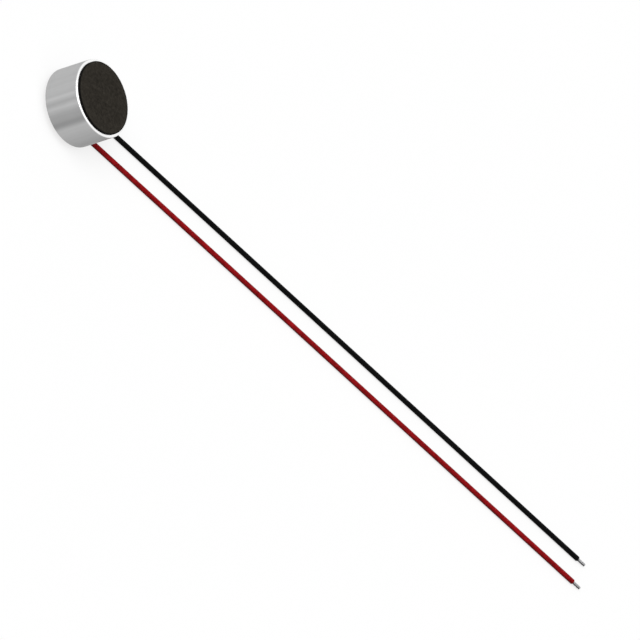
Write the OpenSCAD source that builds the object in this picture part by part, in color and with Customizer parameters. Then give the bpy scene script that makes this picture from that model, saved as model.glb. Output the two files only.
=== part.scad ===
// Electret microphone capsule with two wire leads.
// The capsule stands face up on its two solder joints and on its leads, which lie on the surface.
// Origin: under the middle of the can, on that surface. +Z out of the felt, +X along the leads.

/* [Can] */
// Outside diameter of the can
can_d = 9.7; // [9:0.1:12]
// Height of the can, from its rolled lip to its front face
can_h = 5; // [4.4:0.1:7]
// Thickness of the side wall
can_wall = 0.3; // [0.2:0.02:0.36]
// Thickness of the front face
front_t = 0.3; // [0.2:0.05:0.5]
// Radius of the front edge
front_edge_r = 0.22; // [0.1:0.02:0.3]
// Thickness of the lip that is rolled over the board
lip_t = 0.3; // [0.2:0.05:0.4]
// Width of the lip, from the outside of the can inwards
lip_w = 0.75; // [0.6:0.05:0.9]
// Radius of the rolled edge
back_edge_r = 0.4; // [0.2:0.05:0.5]
// Radius of the lip's inner edge
lip_edge_r = 0.1; // [0.05:0.01:0.15]
// Diameter of a sound port
port_d = 0.8; // [0.5:0.1:1]
// Diameter of the circle that the outer ports lie on
port_circle_d = 4; // [2.4:0.1:5]
// Number of ports on that circle
port_count = 6; // [3:1:6]

/* [Felt] */
// Width of the bare rim around the felt
rim_w = 0.35; // [0.3:0.05:1]
// Thickness of the felt
felt_t = 0.2; // [0.15:0.05:0.6]
// Width of the felt's worn edge bevel
felt_edge = 0.05; // [0.02:0.01:0.1]

/* [Diaphragm] */
// Gap between the can's wall and what is stacked inside it
stack_gap = 0.05; // [0.02:0.01:0.1]
// Thickness of the ring that the diaphragm is stretched on
ring_t = 0.45; // [0.3:0.05:0.6]
// Width of that ring
ring_w = 0.8; // [0.6:0.05:1]
// Bevel on the edges of the turned rings
ring_bevel = 0.06; // [0.02:0.01:0.08]
// Thickness of the diaphragm, drawn thicker than the real film
diaphragm_t = 0.05; // [0.04:0.01:0.1]
// Thickness of the spacer between the diaphragm and the electret
spacer_t = 0.08; // [0.05:0.01:0.12]

/* [Back plate] */
// Thickness of the electret film on the back plate
electret_t = 0.05; // [0.04:0.01:0.1]
// Thickness of the back plate
plate_t = 0.35; // [0.2:0.05:0.5]
// Gap between the back plate and the insulator around it
plate_gap = 0.05; // [0.02:0.01:0.08]
// Diameter of a hole in the back plate
plate_hole_d = 0.7; // [0.4:0.1:0.9]
// Diameter of the circle that the holes lie on
plate_circle_d = 4.4; // [3:0.1:5]
// Number of holes in the back plate
plate_hole_count = 6; // [4:1:6]
// Wall of the insulator ring
insulator_wall = 0.45; // [0.35:0.05:0.55]
// Wall of the gate ring, which joins the back plate to the board
gate_ring_wall = 0.4; // [0.3:0.05:0.5]

/* [Circuit board] */
// Thickness of the board
board_t = 0.8; // [0.6:0.1:1]
// Thickness of the copper on its faces
copper_t = 0.05; // [0.04:0.01:0.08]
// Width of the ground copper that shows inside the lip
ground_show = 0.35; // [0.2:0.05:0.45]
// Gap between the ground copper and the board's edge
copper_margin = 0.05; // [0.03:0.01:0.08]
// Width of a copper neck
neck_w = 0.7; // [0.4:0.1:0.9]
// Width of a solder pad
pad_w = 1.7; // [1.4:0.1:1.9]
// Length of a solder pad, between the middles of its round ends
pad_run = 1.35; // [1:0.05:1.5]
// Outside diameter of a plated hole
via_d = 0.44; // [0.36:0.02:0.5]
// Thickness of the plating in it
via_wall = 0.1; // [0.08:0.01:0.12]
// Least width of copper around a plated hole
via_margin = 0.15; // [0.1:0.05:0.25]
// How far the gate copper reaches past the gate ring on each side
gate_copper_margin = 0.05; // [0.02:0.01:0.08]
// Gap between the two copper islands
island_gap = 0.6; // [0.4:0.05:0.65]
// Gap between an island and the gate copper
island_margin = 0.2; // [0.1:0.05:0.3]

/* [Transistor] */
// Length of the transistor's body, across the leads
chip_l = 2.9; // [2.6:0.1:3]
// Width of the body, along the leads
chip_w = 1.3; // [1.2:0.1:1.4]
// Height of the body
chip_h = 1; // [0.8:0.1:1.1]
// Slope of the body's sides, as a width
chip_draft = 0.08; // [0.04:0.01:0.12]
// Gap under the body
chip_standoff = 0.05; // [0.02:0.01:0.1]
// Distance between the tips of opposite legs
leg_span = 2.4; // [2.3:0.1:2.5]
// Width of a leg
leg_w = 0.4; // [0.3:0.05:0.45]
// Thickness of a leg
leg_t = 0.12; // [0.1:0.01:0.15]
// Length of a leg's foot
leg_foot = 0.35; // [0.25:0.05:0.4]
// Length of a leg's shoulder
leg_shoulder = 0.08; // [0.05:0.01:0.1]
// Distance between the two legs on one side
leg_pitch = 1.9; // [1.8:0.05:2]

/* [Capacitors] */
// Length of a chip capacitor
cap_l = 1; // [0.95:0.05:1.1]
// Width and height of its metal ends
cap_end_w = 0.5; // [0.45:0.05:0.55]
// Length of a metal end
cap_end_l = 0.25; // [0.24:0.01:0.3]
// Thickness of the metal on an end
cap_metal_t = 0.03; // [0.02:0.01:0.04]
// Distance between the two capacitors
cap_pitch = 0.75; // [0.65:0.05:0.8]
// Gap between the transistor's legs and the capacitor beside them
cap_gap = 0.6; // [0.4:0.05:0.7]

/* [Solder joints] */
// Bare copper left around a joint on its pad
joint_margin = 0.05; // [0.02:0.01:0.1]
// Radius of a joint above its flared foot
joint_cap_r = 0.62; // [0.5:0.02:0.66]
// Radius of the flat spot on its top
joint_flat_r = 0.22; // [0.15:0.01:0.3]
// Height of its flared foot
joint_flare_h = 0.25; // [0.15:0.05:0.3]

/* [Leads] */
// Diameter of a lead over its insulation
lead_d = 0.66; // [0.5:0.02:0.7]
// Diameter of the stranded core, tinned
core_d = 0.4; // [0.24:0.02:0.44]
// Distance between the two leads
lead_pitch = 3.45; // [3.3:0.05:3.6]
// How far the middle of the pair lies off the can's axis
lead_shift = 0.35; // [0:0.05:0.4]
// Length of the bare end
tip_l = 1.4; // [1:0.1:5]
// Gap between a lead and the lip that it passes under
lead_gap = 0.02; // [0.02:0.01:0.05]
// How far a lead rises from its far end to the can
lead_rise = 0.01; // [0:0.005:0.01]

/* [Hidden] */
$fn = 96;

// How far a cutting shape runs past what it cuts
overrun = 0.1;

// Heights of the faces that the pieces stack on, from the surface up
lip_z = lead_d + lead_gap;
ground_z = lip_z + lip_t;
board_z = ground_z + copper_t;
inner_z = board_z + board_t;
pad_z = inner_z + copper_t;
front_z = lip_z + can_h;
ceiling_z = front_z - front_t;
ring_z = ceiling_z - ring_t;
diaphragm_z = ring_z - diaphragm_t;
spacer_z = diaphragm_z - spacer_t;
electret_z = spacer_z - electret_t;
plate_z = electret_z - plate_t;

// Radii, from the can inwards
can_r = can_d / 2;
stack_r = can_r - can_wall - stack_gap;
lip_inner_r = can_r - lip_w;
plate_r = stack_r - insulator_wall - plate_gap;
ring_inner_r = stack_r - ring_w;
gate_ring_inner_r = plate_r - gate_ring_wall;

// Places on the board. The black lead is the ground, and the red one the output.
// The plated holes are as far apart as the leads, on both sides of the can's axis.
black_y = lead_shift + lead_pitch / 2;
red_y = lead_shift - lead_pitch / 2;
joint_x = -0.6;
joint_base_r = pad_w / 2 - joint_margin;
via_x = joint_x + pad_run;
via_y = lead_pitch / 2;
chip_x = -0.6;
foot_x = leg_span / 2 - leg_foot;
gate_copper_r = gate_ring_inner_r - gate_copper_margin;
island_x = chip_x + foot_x - leg_foot / 4;
cap_x = chip_x + leg_span / 2 + cap_gap + cap_end_w / 2;

// How many flat steps the outline of a solder joint's round part has
joint_steps = 6;

// Route of a lead: distance from the can's axis, and height of its underside over the line
// that it lies along. It starts beside the solder joint, comes down inside the lip and then
// lies straight.
lead_route = [
    [0.7, 0.12], [1.1, 0.12], [1.7, 0.09], [2.4, 0.03], [3.1, 0], [4, 0],
    [7, 0], [10, 0], [13, 0], [16, 0], [19, 0], [22, 0], [25, 0], [28, 0],
    [31, 0], [34, 0], [37, 0], [40, 0], [43, 0], [46, 0], [49, 0], [52, 0],
    [55, 0], [58, 0], [61, 0], [64, 0], [67, 0], [70, 0], [73, 0], [76, 0],
    [79, 0], [82, 0], [85, 0], [88, 0], [91, 0], [94, 0], [97, 0], [100.7, 0],
];
lead_sides = 8;

aluminium = [0.74, 0.74, 0.75];
felt_black = [0.16, 0.15, 0.13];
brass = [0.80, 0.66, 0.36];
film_silver = [0.82, 0.83, 0.86];
film_clear = [0.85, 0.88, 0.92];
nickel = [0.72, 0.70, 0.66];
resin_cream = [0.88, 0.86, 0.78];
board_green = [0.10, 0.36, 0.18];
copper = [0.78, 0.48, 0.26];
mould_black = [0.10, 0.10, 0.11];
ceramic_tan = [0.64, 0.50, 0.36];
tin = [0.80, 0.81, 0.82];
solder = [0.72, 0.73, 0.75];
wire_red = [0.60, 0.05, 0.07];
wire_black = [0.04, 0.04, 0.04];

// What a convex corner loses when it is rounded to radius r. The corner is at the origin,
// and the solid lies on its -X and -Y sides.
module corner_cut(r) {
    difference() {
        translate([-r, -r])
            square(r + overrun);
        translate([-r, -r])
            circle(r);
    }
}

// Flat ring between two radii
module ring_2d(outer_r, inner_r) {
    difference() {
        circle(outer_r);
        circle(inner_r);
    }
}

// Turned ring with bevelled edges, standing on the plane z
module turned_ring(outer_r, inner_r, height, z) {
    bevel = min(ring_bevel, (outer_r - inner_r) / 4);
    translate([0, 0, z])
        rotate_extrude()
            polygon([
                [inner_r + bevel, 0], [outer_r - bevel, 0], [outer_r, bevel],
                [outer_r, height - bevel], [outer_r - bevel, height],
                [inner_r + bevel, height], [inner_r, height - bevel], [inner_r, bevel],
            ]);
}

// Places count copies of its children round a circle
module round_pattern(circle_d, count) {
    for (i = [0 : count - 1])
        rotate(360 * i / count)
            translate([circle_d / 2, 0])
                children();
}

// Drawn cup with its open end rolled inwards over the board
module can() {
    color(aluminium)
    difference() {
        rotate_extrude()
            can_section();
        translate([0, 0, ceiling_z - overrun])
            linear_extrude(front_t + 2 * overrun)
                sound_ports();
    }
}

module can_section() {
    difference() {
        translate([0, lip_z])
            square([can_r, can_h]);
        translate([0, ground_z])
            square([can_r - can_wall, ceiling_z - ground_z]);
        translate([0, lip_z - overrun])
            square([lip_inner_r, lip_t + 2 * overrun]);
        translate([can_r, front_z])
            corner_cut(front_edge_r);
        translate([can_r, lip_z])
            mirror([0, 1])
                corner_cut(back_edge_r);
        translate([lip_inner_r, lip_z])
            mirror([1, 0])
                mirror([0, 1])
                    corner_cut(lip_edge_r);
    }
}

module sound_ports() {
    circle(d = port_d);
    round_pattern(port_circle_d, port_count)
        circle(d = port_d);
}

// Disc of dust felt, glued on the front face
module dust_felt() {
    felt_r = can_r - rim_w;
    color(felt_black)
    translate([0, 0, front_z])
        rotate_extrude()
            polygon([
                [0, 0], [felt_r, 0], [felt_r, felt_t - felt_edge],
                [felt_r - felt_edge, felt_t], [0, felt_t],
            ]);
}

// Ring that the diaphragm is stretched on, pressed against the front face
module diaphragm_ring() {
    color(brass)
    turned_ring(stack_r, ring_inner_r, ring_t, ring_z);
}

module diaphragm() {
    color(film_silver)
    translate([0, 0, diaphragm_z])
        cylinder(h = diaphragm_t, r = stack_r);
}

// Keeps the diaphragm off the electret, and overlaps the edge of the back plate
module spacer_ring() {
    color(film_clear)
    translate([0, 0, spacer_z])
        linear_extrude(spacer_t)
            ring_2d(stack_r, ring_inner_r);
}

// Outline that the back plate and the film on it share
module plate_2d() {
    difference() {
        circle(plate_r);
        round_pattern(plate_circle_d, plate_hole_count)
            circle(d = plate_hole_d);
    }
}

module electret_film() {
    color(film_clear)
    translate([0, 0, electret_z])
        linear_extrude(electret_t)
            plate_2d();
}

module back_plate() {
    color(nickel)
    translate([0, 0, plate_z])
        linear_extrude(plate_t)
            plate_2d();
}

// Moulded ring that keeps the back plate and the gate ring off the can
module insulator_ring() {
    color(resin_cream)
    turned_ring(stack_r, stack_r - insulator_wall, spacer_z - inner_z, inner_z);
}

// Metal ring that carries the back plate and joins it to the gate copper
module gate_ring() {
    color(brass)
    turned_ring(plate_r, gate_ring_inner_r, plate_z - pad_z, pad_z);
}

// Places its children at both plated holes
module at_vias() {
    for (side = [-1, 1])
        translate([via_x, side * via_y])
            children();
}

module circuit_board() {
    color(board_green)
    translate([0, 0, board_z])
        linear_extrude(board_t)
            difference() {
                circle(stack_r);
                at_vias()
                    circle(d = via_d);
            }
}

// Solder pad with round ends
module pad_2d(y) {
    translate([joint_x, y])
        circle(d = pad_w);
    translate([joint_x + pad_run, y])
        circle(d = pad_w);
    translate([joint_x, y - pad_w / 2])
        square([pad_run, pad_w]);
}

// Ground copper on the back: a ring under the lip, the pad of the black lead,
// and three necks between them
module ground_copper() {
    ground_inner_r = lip_inner_r - ground_show;
    color(copper)
    translate([0, 0, ground_z])
        linear_extrude(copper_t)
            difference() {
                union() {
                    ring_2d(stack_r - copper_margin, ground_inner_r);
                    pad_2d(black_y);
                    intersection() {
                        circle(ground_inner_r + overrun);
                        ground_necks();
                    }
                }
                at_vias()
                    circle(d = via_d);
            }
}

module ground_necks() {
    for (angle = [0, 60, -60])
        translate([joint_x + pad_run / 2, black_y])
            rotate(angle)
                translate([-neck_w / 2, 0])
                    square([neck_w, can_r]);
}

module output_copper() {
    color(copper)
    translate([0, 0, ground_z])
        linear_extrude(copper_t)
            difference() {
                pad_2d(red_y);
                at_vias()
                    circle(d = via_d);
            }
}

// Copper inside: a ring under the gate ring, with a neck to the gate leg
module gate_copper() {
    neck_end_x = chip_x - foot_x + leg_foot / 4;
    color(copper)
    translate([0, 0, inner_z])
        linear_extrude(copper_t) {
            ring_2d(plate_r, gate_copper_r);
            translate([-gate_ring_inner_r, -neck_w / 2])
                square([neck_end_x + gate_ring_inner_r, neck_w]);
        }
}

// Copper island inside, on the +Y side: from the legs' feet out to beside the gate copper's
// ring, and far enough across for the plated hole
module island() {
    island_y = via_y + via_d / 2 + via_margin;
    color(copper)
    translate([0, 0, inner_z])
        linear_extrude(copper_t)
            difference() {
                intersection() {
                    circle(gate_copper_r - island_margin);
                    translate([island_x, island_gap / 2])
                        square([gate_copper_r, island_y - island_gap / 2]);
                }
                at_vias()
                    circle(d = via_d);
            }
}

module source_copper() {
    island();
}

module drain_copper() {
    mirror([0, 1, 0])
        island();
}

// Plated hole between the copper faces, on the +Y side
module via() {
    color(tin)
    translate([via_x, via_y, ground_z])
        linear_extrude(pad_z - ground_z)
            ring_2d(via_d / 2, via_d / 2 - via_wall);
}

module source_via() {
    via();
}

module drain_via() {
    mirror([0, 1, 0])
        via();
}

// Side of the moulded body: upright beside the legs, and sloped above and below them
module chip_side(width) {
    wide = width / 2;
    narrow = wide - chip_draft;
    band_low = (chip_h - leg_t) / 2;
    band_high = (chip_h + leg_t) / 2;
    polygon([
        [-narrow, 0], [narrow, 0], [wide, band_low], [wide, band_high], [narrow, chip_h],
        [-narrow, chip_h], [-wide, band_high], [-wide, band_low],
    ]);
}

module transistor_body() {
    color(mould_black)
    translate([chip_x, 0, pad_z + chip_standoff])
        intersection() {
            rotate([90, 0, 0])
                linear_extrude(chip_l, center = true)
                    chip_side(chip_w);
            rotate([90, 0, 90])
                linear_extrude(chip_w, center = true)
                    chip_side(chip_l);
        }
}

// Gull-wing leg that leaves the body along +X: shoulder, slope and foot
module leg() {
    root_x = chip_w / 2;
    root_z = chip_standoff + (chip_h - leg_t) / 2;
    bend_x = root_x + leg_shoulder;
    color(tin)
    translate([0, leg_w / 2, 0])
        rotate([90, 0, 0])
            linear_extrude(leg_w)
                polygon([
                    [root_x, root_z], [bend_x, root_z], [foot_x, 0], [leg_span / 2, 0],
                    [leg_span / 2, leg_t], [foot_x + leg_t, leg_t],
                    [bend_x + leg_t, root_z + leg_t], [root_x, root_z + leg_t],
                ]);
}

module gate_leg() {
    translate([chip_x, 0, pad_z])
        rotate(180)
            leg();
}

module source_leg() {
    translate([chip_x, leg_pitch / 2, pad_z])
        leg();
}

module drain_leg() {
    translate([chip_x, -leg_pitch / 2, pad_z])
        leg();
}

// Ceramic block of a chip capacitor, between the two islands
module capacitor_body(x) {
    core_w = cap_end_w - 2 * cap_metal_t;
    color(ceramic_tan)
    translate([x - core_w / 2, -cap_l / 2 + cap_metal_t, pad_z + cap_metal_t])
        cube([core_w, cap_l - 2 * cap_metal_t, core_w]);
}

// Metal ends that wrap over the ceramic block
module capacitor_ends(x) {
    color(tin)
    difference() {
        for (side = [-1, 1])
            translate([
                x - cap_end_w / 2,
                side * (cap_l - cap_end_l) / 2 - cap_end_l / 2,
                pad_z,
            ])
                cube([cap_end_w, cap_end_l, cap_end_w]);
        capacitor_body(x);
    }
}

module capacitor_1_body() {
    capacitor_body(cap_x);
}

module capacitor_1_ends() {
    capacitor_ends(cap_x);
}

module capacitor_2_body() {
    capacitor_body(cap_x + cap_pitch);
}

module capacitor_2_ends() {
    capacitor_ends(cap_x + cap_pitch);
}

// Outline of a solder joint: a flared foot on the pad, and a round top with a flat spot
joint_outline = concat(
    [[0, 0]],
    [for (i = [0 : joint_steps])
        let (a = 90 * i / joint_steps)
        [
            joint_base_r - (joint_base_r - joint_cap_r) * sin(a),
            joint_flare_h * (1 - cos(a)),
        ]],
    [for (i = [1 : joint_steps])
        let (a = 90 * i / joint_steps)
        [
            joint_flat_r + (joint_cap_r - joint_flat_r) * cos(a),
            joint_flare_h + (ground_z - joint_flare_h) * sin(a),
        ]],
    [[0, ground_z]]
);

// Solder joint, set round the root of its lead
module joint(y) {
    color(solder)
    difference() {
        translate([joint_x, y, ground_z])
            mirror([0, 0, 1])
                rotate_extrude()
                    polygon(joint_outline);
        lead_root(y);
    }
}

module ground_joint() {
    joint(black_y);
}

module output_joint() {
    joint(red_y);
}

function lead_point(i, y) =
    let (
        x = lead_route[i][0],
        end_x = lead_route[len(lead_route) - 1][0]
    )
    [x, y, lead_d / 2 + lead_route[i][1] + lead_rise * (1 - x / end_x)];

// Way that a lead runs at point i, from its neighbours. Both of its ends are cut upright.
function lead_way(i) =
    i == 0 || i == len(lead_route) - 1 ? [1, 0, 0] :
    let (
        a = lead_point(i - 1, 0),
        b = lead_point(i + 1, 0)
    )
    (b - a) / norm(b - a);

// Ring of points round point i, with its flats level and touching the lead's diameter
function lead_ring(i, y) =
    let (
        way = lead_way(i),
        up = [-way[2], 0, way[0]],
        corner_r = lead_d / 2 / cos(180 / lead_sides)
    )
    [for (k = [0 : lead_sides - 1])
        let (a = 360 * (k + 0.5) / lead_sides)
        lead_point(i, y) + corner_r * (cos(a) * [0, 1, 0] + sin(a) * up)];

// Insulated length of a lead
module lead(y) {
    last = len(lead_route) - 1;
    points = [for (i = [0 : last]) each lead_ring(i, y)];
    sides = [for (i = [0 : last - 1], k = [0 : lead_sides - 1])
        let (
            a = i * lead_sides + k,
            b = i * lead_sides + (k + 1) % lead_sides
        )
        each [[a, b, b + lead_sides], [a, b + lead_sides, a + lead_sides]]];
    start_face = [for (k = [lead_sides - 1 : -1 : 0]) k];
    end_face = [for (k = [0 : lead_sides - 1]) last * lead_sides + k];
    polyhedron(points, concat([start_face], sides, [end_face]));
}

// Bare core that the solder joint holds
module lead_root(y) {
    start = lead_point(0, y);
    translate([joint_x, y, start[2]])
        rotate([0, 90, 0])
            cylinder(h = start[0] - joint_x, d = core_d);
}

// Bare, tinned far end
module lead_tip(y) {
    translate(lead_point(len(lead_route) - 1, y))
        rotate([0, 90, 0])
            cylinder(h = tip_l, d = core_d);
}

module black_lead() {
    color(wire_black)
    lead(black_y);
}

module black_lead_root() {
    color(tin)
    lead_root(black_y);
}

module black_lead_tip() {
    color(tin)
    lead_tip(black_y);
}

module red_lead() {
    color(wire_red)
    lead(red_y);
}

module red_lead_root() {
    color(tin)
    lead_root(red_y);
}

module red_lead_tip() {
    color(tin)
    lead_tip(red_y);
}

can();
dust_felt();
diaphragm_ring();
diaphragm();
spacer_ring();
electret_film();
back_plate();
insulator_ring();
gate_ring();
circuit_board();
ground_copper();
output_copper();
gate_copper();
source_copper();
drain_copper();
source_via();
drain_via();
transistor_body();
gate_leg();
source_leg();
drain_leg();
capacitor_1_body();
capacitor_1_ends();
capacitor_2_body();
capacitor_2_ends();
ground_joint();
output_joint();
black_lead();
black_lead_root();
black_lead_tip();
red_lead();
red_lead_root();
red_lead_tip();
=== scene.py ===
"""Looks of the electret microphone capsule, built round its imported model. Metres throughout."""
import math
import random

import bmesh
import bpy
from mathutils import Matrix, Vector, noise
from mathutils.geometry import delaunay_2d_cdt


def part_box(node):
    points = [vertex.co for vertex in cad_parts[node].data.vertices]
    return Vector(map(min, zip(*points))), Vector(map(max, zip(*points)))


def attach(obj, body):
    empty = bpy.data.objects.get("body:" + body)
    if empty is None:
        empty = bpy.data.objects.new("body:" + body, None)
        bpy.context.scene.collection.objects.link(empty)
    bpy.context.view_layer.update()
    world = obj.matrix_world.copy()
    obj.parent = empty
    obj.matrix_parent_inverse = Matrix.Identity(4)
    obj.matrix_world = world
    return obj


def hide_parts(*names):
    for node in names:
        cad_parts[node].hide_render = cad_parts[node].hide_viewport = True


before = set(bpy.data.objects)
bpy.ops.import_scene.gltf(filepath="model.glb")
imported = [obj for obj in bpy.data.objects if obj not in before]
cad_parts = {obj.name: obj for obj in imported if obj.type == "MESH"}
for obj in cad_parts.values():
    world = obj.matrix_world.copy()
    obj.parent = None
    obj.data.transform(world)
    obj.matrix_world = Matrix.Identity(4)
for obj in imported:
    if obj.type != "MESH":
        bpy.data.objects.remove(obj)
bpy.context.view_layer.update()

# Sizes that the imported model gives
can_low, can_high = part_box("can")
_, felt_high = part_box("dust_felt")
joint_low, joint_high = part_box("ground_joint")
board_low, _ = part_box("circuit_board")
CAN_R = can_high.x
LIP_Z = can_low.z
FRONT_Z = can_high.z
FELT_R = felt_high.x
FELT_TOP = felt_high.z
JOINT_X = (joint_low.x + joint_high.x) / 2
JOINT_BASE_R = (joint_high.x - joint_low.x) / 2
GROUND_Z = joint_high.z
BOARD_Z = board_low.z

# Sizes that repeat the part's source
CAN_WALL = 0.0003
FRONT_T = 0.0003
LIP_T = 0.0003
LIP_W = 0.00075
FRONT_EDGE_R = 0.00022
BACK_EDGE_R = 0.0004
LIP_EDGE_R = 0.0001
PORT_R = 0.0004
PORT_CIRCLE_R = 0.002
PORT_COUNT = 6
FELT_EDGE = 0.00005
LEAD_R = 0.00033
CORE_R = 0.0002
LEAD_PITCH = 0.00345
LEAD_SHIFT = 0.00035
LEAD_RISE = 0.00001
TIP_LENGTH = 0.0014
JOINT_CAP_R = 0.00062
JOINT_FLAT_R = 0.00022
JOINT_FLARE = 0.00025
GROUND_INNER_R = 0.00375
NECK_W = 0.0007
NECK_ANGLES = (0, 60, -60)
PAD_R = 0.00085
PAD_RUN = 0.00135

# The two leads lie side by side, and their middle lies LEAD_SHIFT off the can's axis
LEAD_Y = {"black": LEAD_SHIFT + LEAD_PITCH / 2, "red": LEAD_SHIFT - LEAD_PITCH / 2}

# Route of a lead: distance from the can's axis, and height of its underside over the line
# that it lies along. Past the can it has a point every 3 mm.
LEAD_ROUTE = [
    (0.0007, 0.00012), (0.0011, 0.00012), (0.0017, 0.00009), (0.0024, 0.00003),
    (0.0031, 0), (0.004, 0),
] + [(x / 1000, 0) for x in range(7, 98, 3)] + [(0.1007, 0)]


# Materials

# Noise stays between these over most of a surface
NOISE_LOW, NOISE_HIGH = 0.3, 0.7


class Shader:
    """A Principled material, built node by node."""

    def __init__(self, name, **values):
        self.material = bpy.data.materials.new(name)
        self.material.use_nodes = True
        self.tree = self.material.node_tree
        self.bsdf = self.tree.nodes["Principled BSDF"]
        self.normal = None
        sockets = {socket.name.lower().replace(" ", "_"): socket for socket in self.bsdf.inputs}
        for key, value in values.items():
            sockets[key].default_value = value

    def link(self, output, socket):
        self.tree.links.new(output, self.bsdf.inputs[socket])

    def feed(self, socket, value):
        if isinstance(value, bpy.types.NodeSocket):
            self.tree.links.new(value, socket)
        else:
            socket.default_value = value

    def node(self, kind, **values):
        """A new node. A value whose name isn't one of its attributes is for an input."""
        made = self.tree.nodes.new(kind)
        for name, value in values.items():
            if hasattr(made, name):
                setattr(made, name, value)
            else:
                self.feed(made.inputs[name.replace("_", " ").title()], value)
        return made

    def place(self, stretch=(1, 1, 1)):
        """Place on the object in metres, each coordinate times its stretch."""
        where = self.node("ShaderNodeTexCoord").outputs["Object"]
        return self.node("ShaderNodeMapping", Vector=where, Scale=stretch).outputs[0]

    def axis(self, letter):
        return self.node("ShaderNodeSeparateXYZ", Vector=self.place()).outputs[letter]

    def off_axis(self):
        """Distance from the can's axis."""
        flat = self.place((1, 1, 0))
        length = self.node("ShaderNodeVectorMath", operation="LENGTH")
        self.feed(length.inputs[0], flat)
        return length.outputs["Value"]

    def turn(self):
        """Place round the can's axis, from 0 at -X through 0.25 at -Y to 1."""
        return self.node(
            "ShaderNodeTexGradient", gradient_type="RADIAL", Vector=self.place()
        ).outputs["Fac"]

    def noise(self, size, detail=3.0, roughness=0.5, stretch=(1, 1, 1)):
        """Noise from 0 to 1 whose spots are about size across."""
        return self.node(
            "ShaderNodeTexNoise", Vector=self.place(stretch), Scale=1 / size,
            Detail=detail, Roughness=roughness,
        ).outputs["Fac"]

    def ramp(self, value, *stops):
        """Colours at places along value."""
        made = self.node("ShaderNodeValToRGB")
        self.feed(made.inputs["Fac"], value)
        elements = made.color_ramp.elements
        for i, (place, colour) in enumerate(stops):
            element = elements[i] if i < 2 else elements.new(place)
            element.position = place
            element.color = (*colour, 1)
        return made.outputs["Color"]

    def math(self, operation, a, b=0.0):
        made = self.node("ShaderNodeMath", operation=operation)
        self.feed(made.inputs[0], a)
        self.feed(made.inputs[1], b)
        return made.outputs[0]

    def blend(self, share, a, b):
        """That share of a, and the rest of b."""
        return self.math(
            "ADD", self.math("MULTIPLY", a, share), self.math("MULTIPLY", b, 1 - share)
        )

    def range(self, value, low, high, to_low=0.0, to_high=1.0, shape="LINEAR"):
        made = self.node("ShaderNodeMapRange", interpolation_type=shape)
        for socket, x in zip(made.inputs, (value, low, high, to_low, to_high)):
            self.feed(socket, x)
        return made.outputs[0]

    def mix(self, share, a, b, blend="MIX"):
        made = self.node("ShaderNodeMix", data_type="RGBA", blend_type=blend)
        for socket, x in zip((made.inputs[0], made.inputs[6], made.inputs[7]), (share, a, b)):
            self.feed(socket, (*x, 1) if isinstance(x, tuple) else x)
        return made.outputs[2]

    def polish(self, spots, low, high):
        """Roughness that runs from low to high as the noise rises."""
        self.link(self.range(spots, NOISE_LOW, NOISE_HIGH, low, high), "Roughness")

    def bump(self, height, depth, strength):
        """Adds relief of that depth, in metres, over what was added before."""
        made = self.node("ShaderNodeBump", Height=height, Strength=strength, Distance=depth)
        if self.normal is not None:
            self.tree.links.new(self.normal, made.inputs["Normal"])
        self.normal = made.outputs[0]
        self.link(self.normal, "Normal")


# Painted reflection bands on the can's wall, darker, or lighter where the share is below
# zero: place round the axis and half-width, both in turns from -X, and the share of light lost
PAINTED_REFLECTION_BANDS = (
    (0.070, 0.010, -0.13), (0.092, 0.014, 0.12), (0.111, 0.008, -0.06), (0.150, 0.042, 0.22),
    (0.180, 0.028, 0.34), (0.320, 0.140, 0.28), (0.345, 0.070, 0.24), (0.520, 0.045, 0.22),
    (0.610, 0.020, -0.06), (0.700, 0.050, 0.18), (0.790, 0.025, 0.10), (0.900, 0.060, 0.17),
)
WALL_DARK = (0.430, 0.431, 0.432)
WALL_LIGHT = (0.505, 0.506, 0.507)
WALL_ROUGHNESS = (0.34, 0.46)
# The rim is smoother than the wall, burnished, and painted lighter as a highlight, from the
# first of these depths below the front to the second, both in radii of the front edge
RIM_BURNISH_AND_HIGHLIGHT = (0.93, 0.93, 0.93)
RIM_SMOOTHER = 0.16
RIM_FADE = (0.9, 0.3)


def drawn_aluminium():
    """Satin wall with fine lines along the draw and soft bands of painted reflection, and a front
    edge that the tool burnished and that is painted lighter, as a highlight."""
    s = Shader("drawn_aluminium", metallic=1.0)
    lines = s.noise(size=0.0005, detail=4.0, roughness=0.6, stretch=(1, 1, 0.02))
    fine = s.noise(size=0.00009, detail=2.0, stretch=(1, 1, 0.04))
    clouds = s.noise(size=0.0016, roughness=0.6, stretch=(1, 1, 0.5))
    wall = s.ramp(s.blend(0.7, lines, clouds), (NOISE_LOW, WALL_DARK), (NOISE_HIGH, WALL_LIGHT))
    turn = s.turn()
    painted_shading = 1.0
    # Painted reflection: darker and lighter bands round the axis
    for place, half_width, loss in PAINTED_REFLECTION_BANDS:
        away = s.math("ABSOLUTE", s.math("SUBTRACT", turn, place))
        band = s.range(away, 0.0, half_width, 1 - loss, 1.0, "SMOOTHSTEP")
        painted_shading = s.math("MULTIPLY", painted_shading, band)
    wall = s.mix(1.0, wall, painted_shading, "MULTIPLY")
    start, full = (FRONT_Z - depth * FRONT_EDGE_R for depth in RIM_FADE)
    rim = s.range(s.axis("Z"), start, full)
    # The rim is burnished, and painted lighter as a highlight
    s.link(s.mix(rim, wall, RIM_BURNISH_AND_HIGHLIGHT), "Base Color")
    rough = s.range(lines, NOISE_LOW, NOISE_HIGH, *WALL_ROUGHNESS)
    s.link(s.math("SUBTRACT", rough, s.math("MULTIPLY", rim, RIM_SMOOTHER)), "Roughness")
    s.bump(fine, depth=0.000002, strength=0.35)
    s.bump(lines, depth=0.000006, strength=0.35)
    return s.material


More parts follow.
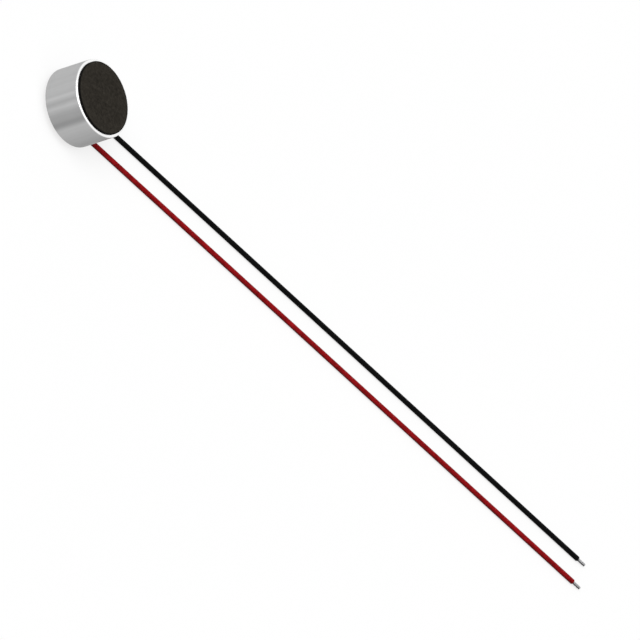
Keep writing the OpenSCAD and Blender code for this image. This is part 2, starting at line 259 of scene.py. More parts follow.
FELT_DARK = (0.0128, 0.0112, 0.0084)
FELT_MIDDLE = (0.0255, 0.0222, 0.0172)
FELT_LIGHT = (0.044, 0.0385, 0.0305)
FELT_EDGE_SHADE = (0.0025, 0.0022, 0.002)
# Painted shade darkens the felt towards its cut, from the first of these distances inside its
# outline to the second, both in widths of the cut edge
EDGE_SHADE_FADE = (3.4, 1.2)


def pressed_felt():
    """Black felt with a brown cast, and painted shade darkening its die-cut edge."""
    s = Shader(
        "pressed_felt", roughness=1.0, specular_ior_level=0.06, sheen_weight=0.03,
        sheen_roughness=0.5,
    )
    tufts = s.noise(size=0.00032, detail=4.0, roughness=0.62)
    fibres = s.noise(size=0.00007, roughness=0.7)
    top = s.ramp(
        s.blend(0.55, tufts, fibres), (0.32, FELT_DARK), (0.68, FELT_LIGHT), (0.5, FELT_MIDDLE)
    )
    start, full = (FELT_R - inside * FELT_EDGE for inside in EDGE_SHADE_FADE)
    # Painted shade darkens the felt towards its cut edge
    s.link(s.mix(s.range(s.off_axis(), start, full), top, FELT_EDGE_SHADE), "Base Color")
    s.bump(tufts, depth=0.00003, strength=0.6)
    s.bump(fibres, depth=0.000015, strength=0.6)
    return s.material


def insulation(name, dark, light, specular):
    """Extruded vinyl, with faint lines along the lead, rubbed spots, and painted shade low down.
    """
    s = Shader(name, specular_ior_level=specular)
    lines = s.noise(size=0.00012, stretch=(0.03, 1, 1))
    spots = s.noise(size=0.0007, detail=4.0, roughness=0.6, stretch=(0.5, 1, 1))
    grain = s.noise(size=0.00025, detail=2.0, roughness=0.6)
    # Painted shade, darker towards the lead's underside
    low_painted_shade = s.range(s.axis("Z"), 0.7 * LEAD_R, 1.5 * LEAD_R, 0.5, 1.0, "SMOOTHSTEP")
    tone = s.ramp(s.blend(0.6, spots, grain), (0.35, dark), (0.65, light))
    s.link(s.mix(1.0, tone, low_painted_shade, "MULTIPLY"), "Base Color")
    s.polish(spots, 0.34, 0.48)
    s.bump(lines, depth=0.000003, strength=0.4)
    s.bump(grain, depth=0.000004, strength=0.3)
    return s.material


def plain_metal(name, dark, light, roughness, size, depth=0.000002):
    """Metal whose tone, polish and relief vary over spots of that size."""
    s = Shader(name, metallic=1.0)
    spots = s.noise(size, detail=4.0, roughness=0.6)
    s.link(s.ramp(spots, (NOISE_LOW, dark), (NOISE_HIGH, light)), "Base Color")
    s.polish(spots, roughness - 0.06, roughness + 0.1)
    s.bump(spots, depth, strength=0.4)
    return s.material


def tinned_strands():
    """Tinned strands of the far ends, with painted shade between the strands and on their
    underside.
    """
    s = Shader("tinned_strands", metallic=1.0)
    side = s.math("ABSOLUTE", s.math("SUBTRACT", s.axis("Y"), LEAD_SHIFT))
    across = s.math("SUBTRACT", side, LEAD_PITCH / 2)
    above = s.math("SUBTRACT", s.axis("Z"), LEAD_R)
    squares = s.math("ADD", s.math("POWER", across, 2.0), s.math("POWER", above, 2.0))
    # Painted shade in the grooves between the strands
    groove_painted_shade = s.range(s.math("SQRT", squares), 0.78 * CORE_R, 0.98 * CORE_R, 0.25, 1.0)
    # Painted shade on the strands' underside
    underside_painted_shade = s.range(above, 0.2 * CORE_R, 0.7 * CORE_R, 0.05, 1.0)
    spots = s.noise(size=0.00012, detail=4.0, roughness=0.6, stretch=(0.5, 1, 1))
    facing = s.node("ShaderNodeNewGeometry").outputs["Normal"]
    cut = s.range(s.node("ShaderNodeSeparateXYZ", Vector=facing).outputs["X"], 0.7, 0.9)
    # Painted shade, held lighter on the cut end faces
    painted_shading = s.math("MAXIMUM", s.math("MULTIPLY", groove_painted_shade, underside_painted_shade), s.math("MULTIPLY", cut, 0.5))
    tone = s.ramp(spots, (NOISE_LOW, (0.40, 0.40, 0.41)), (NOISE_HIGH, (0.62, 0.62, 0.63)))
    s.link(s.mix(1.0, tone, painted_shading, "MULTIPLY"), "Base Color")
    s.polish(spots, 0.28, 0.42)
    s.bump(spots, depth=0.000002, strength=0.4)
    return s.material


def moulded(name, dark, light, roughness, size=0.0003, **values):
    """Plastic, resin or ceramic whose tone and relief vary over grains of that size."""
    s = Shader(name, **values)
    grains = s.noise(size, detail=5.0, roughness=0.6)
    s.link(s.ramp(grains, (NOISE_LOW, dark), (NOISE_HIGH, light)), "Base Color")
    s.polish(grains, roughness - 0.05, roughness + 0.08)
    s.bump(grains, depth=0.000003, strength=0.5)
    return s.material


WEAVE_SIZE = 0.0016
# Depth below the board's back at which the mask starts to lighten towards the copper
MASK_FADE = 0.00003


def solder_mask():
    """Green mask over a weave that shows faintly through it, lighter where it lies on copper."""
    s = Shader("solder_mask", specular_ior_level=0.5, coat_weight=0.4, coat_roughness=0.15)
    threads = [
        s.node(
            "ShaderNodeTexWave", bands_direction=way, Vector=s.place(), Scale=1 / WEAVE_SIZE,
            Distortion=1.5, Detail=2.0, Detail_Scale=2.0,
        ).outputs["Fac"]
        for way in ("X", "Y")
    ]
    weave = s.math("MULTIPLY", *threads)
    clouds = s.noise(size=0.0007)
    tone = s.blend(0.3, weave, clouds)
    bare = s.ramp(tone, (0.25, (0.006, 0.060, 0.022)), (0.75, (0.015, 0.115, 0.040)))
    on_copper = s.ramp(tone, (0.25, (0.030, 0.150, 0.045)), (0.75, (0.060, 0.230, 0.075)))
    over = s.range(s.axis("Z"), BOARD_Z - MASK_FADE, GROUND_Z)
    s.link(s.mix(over, bare, on_copper), "Base Color")
    s.polish(clouds, 0.26, 0.36)
    s.bump(weave, depth=0.000004, strength=0.3)
    s.bump(clouds, depth=0.000008, strength=0.3)
    return s.material


ALUMINIUM = drawn_aluminium()
FELT = pressed_felt()
VINYL = {
    "red": insulation("red_vinyl", (0.16, 0.002, 0.003), (0.36, 0.007, 0.010), specular=0.04),
    "black": insulation(
        "black_vinyl", (0.0005, 0.0005, 0.0005), (0.0045, 0.0045, 0.0045), specular=0.03
    ),
}
TIN = plain_metal(
    "tin", (0.45, 0.45, 0.46), (0.72, 0.72, 0.73), roughness=0.3, size=0.0001
)
STRANDS = tinned_strands()
SOLDER = plain_metal(
    "solder", (0.50, 0.51, 0.53), (0.76, 0.76, 0.78), roughness=0.2, size=0.0005, depth=0.00001
)
BRASS = plain_metal(
    "brass", (0.50, 0.33, 0.11), (0.72, 0.52, 0.22), roughness=0.3, size=0.0004
)
NICKEL = plain_metal(
    "nickel", (0.45, 0.43, 0.40), (0.62, 0.60, 0.56), roughness=0.3, size=0.0004
)
COPPER = plain_metal(
    "copper", (0.45, 0.17, 0.075), (0.68, 0.32, 0.16), roughness=0.3, size=0.0006
)
SILVERED_FILM = plain_metal(
    "silvered_film", (0.60, 0.62, 0.66), (0.78, 0.79, 0.82), roughness=0.15, size=0.001
)
CLEAR_FILM = moulded(
    "clear_film", (0.60, 0.64, 0.70), (0.72, 0.76, 0.82), roughness=0.2, size=0.001,
    transmission_weight=0.6,
)
RESIN = moulded("resin", (0.66, 0.62, 0.50), (0.76, 0.72, 0.60), roughness=0.5)
MOULD = moulded(
    "mould", (0.008, 0.008, 0.009), (0.018, 0.018, 0.019), roughness=0.55, size=0.00008
)
CERAMIC = moulded(
    "ceramic", (0.26, 0.16, 0.085), (0.38, 0.25, 0.14), roughness=0.6, size=0.0001
)
BOARD = solder_mask()

NODE_MATERIALS = {
    ALUMINIUM: ["can"],
    FELT: ["dust_felt"],
    BRASS: ["diaphragm_ring", "gate_ring"],
    SILVERED_FILM: ["diaphragm"],
    CLEAR_FILM: ["spacer_ring", "electret_film"],
    NICKEL: ["back_plate"],
    RESIN: ["insulator_ring"],
    BOARD: ["circuit_board"],
    COPPER: ["ground_copper", "output_copper", "gate_copper", "source_copper", "drain_copper"],
    MOULD: ["transistor_body"],
    CERAMIC: ["capacitor_1_body", "capacitor_2_body"],
    TIN: [
        "source_via", "drain_via", "gate_leg", "source_leg", "drain_leg",
        "capacitor_1_ends", "capacitor_2_ends", "black_lead_root", "red_lead_root",
    ],
    STRANDS: ["black_lead_tip", "red_lead_tip"],
    SOLDER: ["ground_joint", "output_joint"],
    VINYL["red"]: ["red_lead"],
    VINYL["black"]: ["black_lead"],
}
for material, names in NODE_MATERIALS.items():
    for name in names:
        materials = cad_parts[name].data.materials
        materials.clear()
        materials.append(material)


# Meshes. A shape is (points, faces).

# Points nearer to each other than this are one
MERGE = 0.0000001


def piece(name, shape, material, crease, replaces=()):
    """A new piece that rides with the part. Faces that meet at more than crease degrees keep
    a sharp edge between them."""
    mesh = bpy.data.meshes.new(name)
    mesh.from_pydata(shape[0], [], shape[1])
    tool = bmesh.new()
    tool.from_mesh(mesh)
    bmesh.ops.remove_doubles(tool, verts=tool.verts, dist=MERGE)
    bmesh.ops.recalc_face_normals(tool, faces=tool.faces)
    tool.to_mesh(mesh)
    tool.free()
    mesh.shade_smooth()
    mesh.set_sharp_from_angle(angle=math.radians(crease))
    mesh.materials.append(material)
    made = bpy.data.objects.new(name, mesh)
    bpy.context.scene.collection.objects.link(made)
    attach(made, "root")
    if replaces:
        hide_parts(*replaces)
    return made


def joined(shapes):
    points, faces = [], []
    for new_points, new_faces in shapes:
        first = len(points)
        points += new_points
        faces += [[i + first for i in face] for face in new_faces]
    return points, faces


def arc(centre, r, start, end, steps):
    """Flat points on an arc between two angles in degrees."""
    angles = [math.radians(start + (end - start) * i / steps) for i in range(steps + 1)]
    return [(centre[0] + r * math.cos(a), centre[1] + r * math.sin(a)) for a in angles]


def circle(centre, r, segments):
    return arc(centre, r, 0, 360, segments)[:-1]


def revolved(outline, segments):
    """Surface that an outline of (radius, height) points sweeps round the Z axis."""
    n = len(outline)
    points, faces = [], []
    for i in range(segments):
        a = 2 * math.pi * i / segments
        points += [(r * math.cos(a), r * math.sin(a), z) for r, z in outline]
    for i in range(segments):
        a, b = i * n, (i + 1) % segments * n
        faces += [[a + k, b + k, b + k + 1, a + k + 1] for k in range(n - 1)]
    return points, faces


def tube(path, radii, sides, way=None):
    """Closed tube along a path, which isn't upright. way is the direction that every ring
    faces, if it isn't the path's own."""
    points, faces = [], []
    path = [Vector(p) for p in path]
    for i, (centre, r) in enumerate(zip(path, radii)):
        along = Vector(way) if way else path[min(i + 1, len(path) - 1)] - path[max(i - 1, 0)]
        side = along.cross(Vector((0, 0, 1))).normalized()
        up = side.cross(along).normalized()
        for k in range(sides):
            a = 2 * math.pi * (k + 0.5) / sides
            points.append(tuple(centre + r * (math.cos(a) * side + math.sin(a) * up)))
    for i in range(len(path) - 1):
        a, b = i * sides, (i + 1) * sides
        for k in range(sides):
            m = (k + 1) % sides
            faces.append([a + k, a + m, b + m, b + k])
    faces.append(list(range(sides)))
    faces.append([(len(path) - 1) * sides + k for k in range(sides)])
    return points, faces


def stepped_plate(loops, level, base, rim=True):
    """Plate on the plane z = base. The flat loops part it into regions, and level(x, y) gives
    a region's height, or None where there is a hole. rim adds the wall round the outside."""
    flat, edges = [], []
    for loop in loops:
        first = len(flat)
        flat += [Vector(p) for p in loop]
        edges += [(first + i, first + (i + 1) % len(loop)) for i in range(len(loop))]
    flat, _, triangles = delaunay_2d_cdt(flat, edges, [], 0, MERGE)[:3]
    heights, owner, seen = [], {}, {}
    for t, corners in enumerate(triangles):
        middle = sum((flat[i] for i in corners), Vector((0, 0))) / 3
        heights.append(level(middle.x, middle.y))
        for a, b in zip(corners, corners[1:] + corners[:1]):
            owner[a, b] = t
        for i in corners:
            seen.setdefault(i, {base}).add(base if heights[t] is None else heights[t])
    points, faces, known = [], [], {}

    def corner(i, z):
        if (i, z) not in known:
            known[i, z] = len(points)
            points.append((flat[i].x, flat[i].y, z))
        return known[i, z]

    def upright(i, start, end):
        """The plate's corners over point i, from one height to another."""
        low, high = min(start, end), max(start, end)
        rising = sorted(z for z in seen[i] if low <= z <= high)
        return [corner(i, z) for z in (rising if start < end else rising[::-1])]

    for t, corners in enumerate(triangles):
        top = heights[t]
        if top is None:
            continue
        faces.append([corner(i, top) for i in corners])
        faces.append([corner(i, base) for i in corners[::-1]])
        for a, b in zip(corners, corners[1:] + corners[:1]):
            beside = owner.get((b, a))
            if beside is None and not rim:
                continue
            low = base if beside is None or heights[beside] is None else heights[beside]
            if abs(top - base) > abs(low - base):
                faces.append(upright(a, top, low) + upright(b, low, top))
    return points, faces


# Camera

# The photo looks down at 35 degrees with all three axes foreshortened alike, and is turned so
# that the can's axis points right and 17.5 degrees up
CAMERA_BACK = Vector((-1, -1, 1)).normalized()
CAMERA_LEVEL = Vector((1, -1, 0)).normalized()
CAMERA_TURN = math.radians(72.453)
CAMERA_AIM = Vector((0.048744, 0.002304, 0.000528))
CAMERA_DISTANCE = 3.2
CAMERA_CLIP = (0.01, 20)
PHOTO_WIDTH = 0.07662
SENSOR = 36


def add_camera():
    upright = CAMERA_LEVEL.cross(-CAMERA_BACK)
    right = CAMERA_LEVEL * math.cos(CAMERA_TURN) + upright * math.sin(CAMERA_TURN)
    up = upright * math.cos(CAMERA_TURN) - CAMERA_LEVEL * math.sin(CAMERA_TURN)
    turned = Matrix((right, up, CAMERA_BACK)).transposed().to_4x4()
    camera = bpy.data.objects.new("camera", bpy.data.cameras.new("camera"))
    camera.data.sensor_width = SENSOR
    camera.data.lens = SENSOR * CAMERA_DISTANCE / PHOTO_WIDTH
    camera.data.clip_start, camera.data.clip_end = CAMERA_CLIP
    camera.matrix_world = Matrix.Translation(CAMERA_AIM + CAMERA_BACK * CAMERA_DISTANCE) @ turned
    bpy.context.scene.collection.objects.link(camera)
    bpy.context.scene.camera = camera


add_camera()


# Leads

LEAD_SIDES = 32
HOLE_R = 1.04 * CORE_R
STRIP_DEPTH = 0.0003
CUT_ROUND = 0.00004
CUT_BEVEL = 0.3 * CUT_ROUND
CUT_RUN = 3 * CUT_ROUND
CUT_RAGGED = 0.00003
CUT_GRAIN = LEAD_R / 2
STRAND_COUNT = 6
STRAND_R = CORE_R / 3
STRAND_PITCH = 0.0026
STRAND_STEP = 0.00007
STRAND_SIDES = 12
FILL_R = 0.74 * CORE_R
# How much shorter than the longest each strand is, the middle one first
STRAND_CUTS = (0, 0.00003, 0.00001, 0.00004, 0.00002, 0.00005, 0.00001)


def lead_path(colour):
    end_x = LEAD_ROUTE[-1][0]
    return [
        (x, LEAD_Y[colour], LEAD_R + z + LEAD_RISE * (1 - x / end_x)) for x, z in LEAD_ROUTE
    ]


def lead_shape(path):
    """Tube whose two cut ends are rounded, a little ragged, and open round the core."""
    mouth = [
        (STRIP_DEPTH, HOLE_R), (CUT_ROUND, HOLE_R), (0, HOLE_R + CUT_ROUND / 2),
        (0, LEAD_R - CUT_ROUND), (CUT_BEVEL, LEAD_R - CUT_BEVEL), (CUT_ROUND, LEAD_R),
        (CUT_RUN, LEAD_R),
    ]
    (start_x, y, start_z), (end_x, _, end_z) = path[0], path[-1]
    start = [(start_x + x, y, start_z) for x, _ in mouth]
    end = [(end_x - x, y, end_z) for x, _ in mouth[::-1]]
    radii = [r for _, r in mouth] + [LEAD_R] * (len(path) - 2) + [r for _, r in mouth[::-1]]
    points, faces = tube(start + path[1:-1] + end, radii, LEAD_SIDES, way=(1, 0, 0))
    for i, (x, point_y, z) in enumerate(points):
        for cut_x, inwards in ((start_x, 1), (end_x, -1)):
            depth = (x - cut_x) * inwards
            if depth < CUT_ROUND:
                place = Vector((x + inwards, point_y, z)) / CUT_GRAIN
                ragged = CUT_RAGGED * abs(noise.noise(place)) * (1 - depth / CUT_ROUND)
                points[i] = (x + inwards * ragged, point_y, z)
    return points, faces


def strands_shape(start, end, y, z):
    """A middle strand and six that are twisted round it, with tin between them. The strands
    are cut off a little unevenly."""
    steps = round((end - start) / STRAND_STEP)
    filled = (start, end - max(STRAND_CUTS))
    shapes = [tube([(x, y, z) for x in filled], [FILL_R] * 2, LEAD_SIDES)]
    for s, cut in enumerate(STRAND_CUTS):
        away = 2 * STRAND_R if s else 0
        path = []
        for i in range(steps + 1):
            x = start + (end - cut - start) * i / steps
            a = 2 * math.pi * (s / STRAND_COUNT + x / STRAND_PITCH)
            path.append((x, y + away * math.cos(a), z + away * math.sin(a)))
        shapes.append(tube(path, [STRAND_R] * len(path), STRAND_SIDES, way=(1, 0, 0)))
    return joined(shapes)


def add_lead(colour):
    path = lead_path(colour)
    (start_x, y, start_z), (end_x, _, end_z) = path[0], path[-1]
    piece(
        f"{colour}_root_strands", strands_shape(JOINT_X, start_x + STRIP_DEPTH, y, start_z),
        TIN, crease=40, replaces=[f"{colour}_lead_root"],
    )
    tip = piece(
        f"{colour}_tip_strands",
        strands_shape(end_x - STRIP_DEPTH, end_x + TIP_LENGTH, y, end_z),
        STRANDS, crease=40, replaces=[f"{colour}_lead_tip"],
    )
    cord = piece(
        f"{colour}_cord", lead_shape(path), VINYL[colour], crease=50,
        replaces=[f"{colour}_lead"],
    )


for colour in LEAD_Y:
    add_lead(colour)


# Can

CAN_SEGMENTS = 384
PORT_SEGMENTS = 48
EDGE_STEPS = 10
RIPPLE = 0.000005
RIPPLE_COUNT = 70
# How far the ripples wander from an even spacing, in radians of their wave
RIPPLE_DRIFT = 3


def can_shape():
    """The drawn cup, with its sound ports and with fine ripples where its lip is rolled."""
    inner_r, lip_r = CAN_R - CAN_WALL, CAN_R - LIP_W
    ceiling_z = FRONT_Z - FRONT_T
    outline = [(inner_r, FRONT_Z)] + arc(
        (CAN_R - FRONT_EDGE_R, FRONT_Z - FRONT_EDGE_R), FRONT_EDGE_R, 90, 0, EDGE_STEPS
    ) + arc(
        (CAN_R - BACK_EDGE_R, LIP_Z + BACK_EDGE_R), BACK_EDGE_R, 0, -90, EDGE_STEPS
    ) + arc(
        (lip_r + LIP_EDGE_R, LIP_Z + LIP_EDGE_R), LIP_EDGE_R, -90, -180, EDGE_STEPS // 2
    ) + [(lip_r, LIP_Z + LIP_T), (inner_r, LIP_Z + LIP_T), (inner_r, ceiling_z)]
    points, faces = revolved(outline, CAN_SEGMENTS)
    for i, (x, y, z) in enumerate(points):
        rolled = 1 - (z - LIP_Z) / BACK_EDGE_R
        if rolled > 0:
            strength = 0.5 + noise.noise(Vector((x, y, 0)) / LIP_W)
            drift = RIPPLE_DRIFT * noise.noise(Vector((x, y, 1)) / CAN_R)
            wave = 1 + math.cos(RIPPLE_COUNT * math.atan2(y, x) + drift)
            points[i] = (x, y, z + RIPPLE * rolled * strength * wave)
    ports = [(0, 0)] + circle((0, 0), PORT_CIRCLE_R, PORT_COUNT)

    def front(x, y):
        in_port = any(math.dist((x, y), port) < PORT_R for port in ports)
        return None if in_port else FRONT_Z

    loops = [circle((0, 0), inner_r, CAN_SEGMENTS)]
    loops += [circle(port, PORT_R, PORT_SEGMENTS) for port in ports]
    return joined([(points, faces), stepped_plate(loops, front, ceiling_z, rim=False)])


piece("can_shell", can_shape(), ALUMINIUM, crease=35, replaces=["can"])


# Felt

FELT_SECTORS = 6
FELT_RINGS = 96
FELT_HOLLOW = 0.0009
FELT_TUFT = 0.00018
FELT_RELIEF = 0.000016
# Share of the relief by which the top lies, on average, below the CAD felt's
FELT_SUNK = 0.6
# The cut edge's shoulder, in from the outline and down from the top, in widths of the edge
FELT_SHOULDER = (0.3, 0.4)
FELT_RAGGED = 0.3 * FELT_EDGE
FIBRE_SEED = 7
FIBRE_COUNT = 900
FIBRE_LENGTHS = (0.00025, 0.0011)
FIBRE_R = 0.000008
FIBRE_THINNEST = 0.6
FIBRE_SIDES = 3
FIBRE_STEPS = 6
FIBRE_LIFT = 0.00003
FIBRE_LEAST_LIFT = 0.3
FIBRE_CURL = 1500
EDGE_FIBRE_COUNT = 260
EDGE_FIBRE_LENGTHS = (0.00008, 0.0002)
EDGE_FIBRE_INSIDE = (0.5, 0.9)
EDGE_FIBRE_SPREAD = 0.7


def felt_top(x, y):
    """Height of the pressed top: broad hollows, and finer tufts."""
    hollow = noise.noise(Vector((x, y, 0)) / FELT_HOLLOW)
    tuft = noise.noise(Vector((x, y, 0.01)) / FELT_TUFT)
    return FELT_TOP + FELT_RELIEF * (0.5 * hollow + 0.5 * tuft - FELT_SUNK)


def felt_pad_shape():
    """Disc whose top is rings of 6, 12, 18 and so on points, with a cut edge below them."""
    top_r = FELT_R - FELT_EDGE
    points, faces, last = [(0, 0, felt_top(0, 0))], [], 0
    for ring in range(1, FELT_RINGS + 1):
        inner_count, outer_count = max(FELT_SECTORS * (ring - 1), 1), FELT_SECTORS * ring
        first = len(points)
        for x, y in circle((0, 0), top_r * ring / FELT_RINGS, outer_count):
            points.append((x, y, felt_top(x, y)))
        for sector in range(FELT_SECTORS):
            for j in range(ring):
                a, b = (last + (sector * (ring - 1) + j + k) % inner_count for k in (0, 1))
                c, d = (first + (sector * ring + j + k) % outer_count for k in (0, 1))
                faces.append([a, c, d])
                if j < ring - 1:
                    faces.append([a, d, b])
        last = first
    around = FELT_SECTORS * FELT_RINGS
    inwards, down = FELT_SHOULDER
    side = [
        (FELT_R - inwards * FELT_EDGE, FELT_TOP - down * FELT_EDGE),
        (FELT_R, FELT_TOP - FELT_EDGE), (FELT_R, (FELT_TOP + FRONT_Z) / 2), (FELT_R, FRONT_Z),
    ]
    for r, z in side:
        first = len(points)
        for x, y in circle((0, 0), 1, around):
            ragged = noise.noise(Vector((x * r, y * r, z)) / FELT_TUFT)
            away = r - FELT_RAGGED * abs(ragged)
            points.append((x * away, y * away, z))
        for k in range(around):
            m = (k + 1) % around
            faces.append([last + k, first + k, first + m, last + m])
        last = first
    faces.append([last + k for k in range(around)])
    return points, faces


def fibre_shape(draw, r, angle, heading, length, lift):
    """Thin curled tube that starts at a radius and an angle on the felt, with both ends
    dipped into it."""
    curl = draw.gauss(0, FIBRE_CURL)
    step = length / FIBRE_STEPS
    x, y = r * math.cos(angle), r * math.sin(angle)
    path = []
    for i in range(FIBRE_STEPS + 1):
        arch = math.sin(math.pi * i / FIBRE_STEPS)
        path.append((x, y, min(felt_top(x, y), FELT_TOP) + lift * arch - FIBRE_R))
        x += step * math.cos(heading)
        y += step * math.sin(heading)
        heading += curl * step
    thickness = FIBRE_R * draw.uniform(FIBRE_THINNEST, 1)
    return tube(path, [thickness] * len(path), FIBRE_SIDES)


def felt_fibres_shape():
    """Fibres that lie loose on the felt, and short ones that stand out over its cut edge."""
    draw = random.Random(FIBRE_SEED)
    shapes = []
    for _ in range(FIBRE_COUNT):
        length = draw.uniform(*FIBRE_LENGTHS)
        r = (FELT_R - FELT_EDGE - length) * math.sqrt(draw.random())
        angle = draw.uniform(0, 2 * math.pi)
        heading = draw.uniform(0, 2 * math.pi)
        lift = FIBRE_LIFT * draw.uniform(FIBRE_LEAST_LIFT, 1)
        shapes.append(fibre_shape(draw, r, angle, heading, length, lift))
    for _ in range(EDGE_FIBRE_COUNT):
        length = draw.uniform(*EDGE_FIBRE_LENGTHS)
        angle = draw.uniform(0, 2 * math.pi)
        r = FELT_R - length * draw.uniform(*EDGE_FIBRE_INSIDE)
        heading = angle + draw.gauss(0, EDGE_FIBRE_SPREAD)
        shapes.append(fibre_shape(draw, r, angle, heading, length, lift=0))
    return joined(shapes)


felt = piece(
    "felt_pad", joined([felt_pad_shape(), felt_fibres_shape()]), FELT, crease=60,
    replaces=["dust_felt"],
)


# Solder joints

JOINT_SIDES = 72
JOINT_STEPS = 14
# The solder that is drawn out along the lead's root: its length, and how far it spreads
JOINT_TAIL = 0.00016
TAIL_HALF_ANGLE = 0.42
TAIL_HALF_HEIGHT = 0.0002
JOINT_UNEVEN = 0.000012
JOINT_GRAIN = JOINT_CAP_R / 2


def joint_shape(colour):
    """Turned joint, drawn out along the root of its lead and a little uneven."""
    y, root_z = LEAD_Y[colour], lead_path(colour)[0][2]
    quarter = [math.radians(90 * i / JOINT_STEPS) for i in range(JOINT_STEPS + 1)]
    outline = [
        (JOINT_BASE_R - (JOINT_BASE_R - JOINT_CAP_R) * math.sin(a),
         GROUND_Z - JOINT_FLARE * (1 - math.cos(a)))
        for a in quarter
    ] + [
        (JOINT_FLAT_R + (JOINT_CAP_R - JOINT_FLAT_R) * math.cos(a),
         (GROUND_Z - JOINT_FLARE) * (1 - math.sin(a)))
        for a in quarter[1:]
    ]
    points, faces = revolved(outline, JOINT_SIDES)
    n = len(outline)
    for i, (px, py, z) in enumerate(points):
        a = math.atan2(py, px)
        tail = math.exp(-(a / TAIL_HALF_ANGLE) ** 2 - ((z - root_z) / TAIL_HALF_HEIGHT) ** 2)
        inside = math.sin(math.pi * z / GROUND_Z)
        uneven = JOINT_UNEVEN * inside * noise.noise(Vector((px, py + y, z)) / JOINT_GRAIN)
        grow = 1 + (JOINT_TAIL * tail + uneven) / math.hypot(px, py)
        points[i] = (JOINT_X + px * grow, y + py * grow, z)
    faces.append([i * n for i in range(JOINT_SIDES)])
    faces.append([i * n + n - 1 for i in range(JOINT_SIDES)])
    return points, faces


for name, colour in (("ground", "black"), ("output", "red")):
    piece(
        f"{name}_solder", joint_shape(colour), SOLDER, crease=50,
        replaces=[f"{name}_joint"],
    )


# Solder mask on the board's back

MASK_T = 0.00002
MASK_LAP = 0.00008
MASK_OPENING = 0.00006
MASK_SEGMENTS = 180
PAD_STEPS = 32


def mask_shape():
    """Skin over the board's back: open at the two pads, and raised over the copper necks and
    the inner edge of the ground ring."""
    on_board, on_copper = BOARD_Z - MASK_T, GROUND_Z - MASK_T
    outer_r = GROUND_INNER_R + MASK_LAP
    ring_r = GROUND_INNER_R - MASK_T
    opening_r = PAD_R + MASK_OPENING
    neck_start = Vector((JOINT_X + PAD_RUN / 2, LEAD_Y["black"]))
    half_neck = NECK_W / 2 + MASK_T
    necks = []
    for degrees in NECK_ANGLES:
        a = math.radians(degrees)
        along, across = Vector((-math.sin(a), math.cos(a))), Vector((math.cos(a), math.sin(a)))
        necks.append((along, across))

    def in_pad(x, y):
        nearest = min(max(x, JOINT_X), JOINT_X + PAD_RUN)
        return any(math.dist((x, y), (nearest, pad_y)) < opening_r for pad_y in LEAD_Y.values())

    def on_neck(x, y):
        to = Vector((x, y)) - neck_start
        return any(to @ along > 0 and abs(to @ across) < half_neck for along, across in necks)

    def surface(x, y):
        r = math.hypot(x, y)
        if r > outer_r or in_pad(x, y):
            return None
        return on_copper if r > ring_r or on_neck(x, y) else on_board

    loops = [circle((0, 0), r, MASK_SEGMENTS) for r in (outer_r, ring_r)]
    for y in LEAD_Y.values():
        loops.append(
            arc((JOINT_X, y), opening_r, 90, 270, PAD_STEPS)
            + arc((JOINT_X + PAD_RUN, y), opening_r, -90, 90, PAD_STEPS)
        )
    for along, across in necks:
        loops.append([
            neck_start + across * half_neck * side + along * length
            for side, length in ((-1, 0), (1, 0), (1, CAN_R), (-1, CAN_R))
        ])
    return stepped_plate(loops, surface, BOARD_Z)


piece("mask_skin", mask_shape(), BOARD, crease=30)


# Floor, background and light

FLOOR_SIZE = 12
FLOOR_GAP = 0.00001
# The floor's colour, for the light that it gives the object and for the camera
FLOOR_BOUNCE = 0.3
FLOOR_SEEN = 0.99
# Share of what the camera sees of the floor that glows and takes no shadow
FLOOR_GLOW = 0.75
# Strength of the background, for the light that it gives the object and for the camera
AMBIENT = 0.45
BACKDROP = 1.0


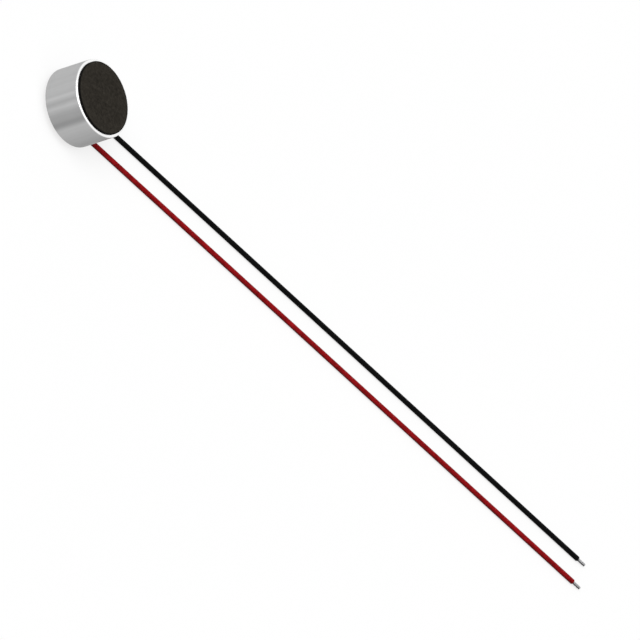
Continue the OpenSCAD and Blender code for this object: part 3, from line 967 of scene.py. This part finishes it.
def by_ray(tree, given, seen):
    """The value seen, for the camera's rays and those that a surface mirrors or lets through,
    and the value given for all others."""
    path = tree.nodes.new("ShaderNodeLightPath")
    total = path.outputs["Is Camera Ray"]
    for name in ("Is Glossy Ray", "Is Transmission Ray"):
        either = tree.nodes.new("ShaderNodeMath")
        either.operation = "MAXIMUM"
        tree.links.new(total, either.inputs[0])
        tree.links.new(path.outputs[name], either.inputs[1])
        total = either.outputs[0]
    made = tree.nodes.new("ShaderNodeMapRange")
    tree.links.new(total, made.inputs["Value"])
    made.inputs["To Min"].default_value = given
    made.inputs["To Max"].default_value = seen
    return made.outputs[0]


def floor_material():
    made = bpy.data.materials.new("floor")
    made.use_nodes = True
    tree = made.node_tree
    tree.nodes.remove(tree.nodes["Principled BSDF"])
    matt = tree.nodes.new("ShaderNodeBsdfDiffuse")
    white = tree.nodes.new("ShaderNodeEmission")
    both = tree.nodes.new("ShaderNodeMixShader")
    tree.links.new(by_ray(tree, FLOOR_BOUNCE, FLOOR_SEEN), matt.inputs["Color"])
    tree.links.new(by_ray(tree, 0.0, FLOOR_GLOW), both.inputs[0])
    tree.links.new(matt.outputs[0], both.inputs[1])
    tree.links.new(white.outputs[0], both.inputs[2])
    tree.links.new(both.outputs[0], tree.nodes["Material Output"].inputs[0])
    return made


def add_floor():
    half = FLOOR_SIZE / 2
    corners = [(x * half, y * half, -FLOOR_GAP) for x, y in ((-1, -1), (1, -1), (1, 1), (-1, 1))]
    mesh = bpy.data.meshes.new("floor")
    mesh.from_pydata(corners, [], [(0, 1, 2, 3)])
    mesh.materials.append(floor_material())
    floor = bpy.data.objects.new("floor", mesh)
    bpy.context.scene.collection.objects.link(floor)


def add_background():
    world = bpy.data.worlds.new("world")
    bpy.context.scene.world = world
    world.use_nodes = True
    sky = world.node_tree.nodes["Background"]
    sky.inputs["Color"].default_value = (1, 1, 1, 1)
    strength = by_ray(world.node_tree, AMBIENT, BACKDROP)
    world.node_tree.links.new(strength, sky.inputs["Strength"])


def add_lamp(name, towards, strength, angle):
    """A broad, distant light that shines along a direction."""
    data = bpy.data.lights.new(name, "SUN")
    data.energy = strength
    data.angle = math.radians(angle)
    made = bpy.data.objects.new(name, data)
    made.rotation_mode = "QUATERNION"
    made.rotation_quaternion = Vector(towards).to_track_quat("-Z", "Y")
    bpy.context.scene.collection.objects.link(made)


add_floor()
add_background()
add_lamp("key", towards=(0.9, 0.15, -1), strength=1.57, angle=45)
add_lamp("fill", towards=(0.2, 0.2, -1), strength=0.6, angle=70)

bpy.context.scene.view_settings.view_transform = "Standard"
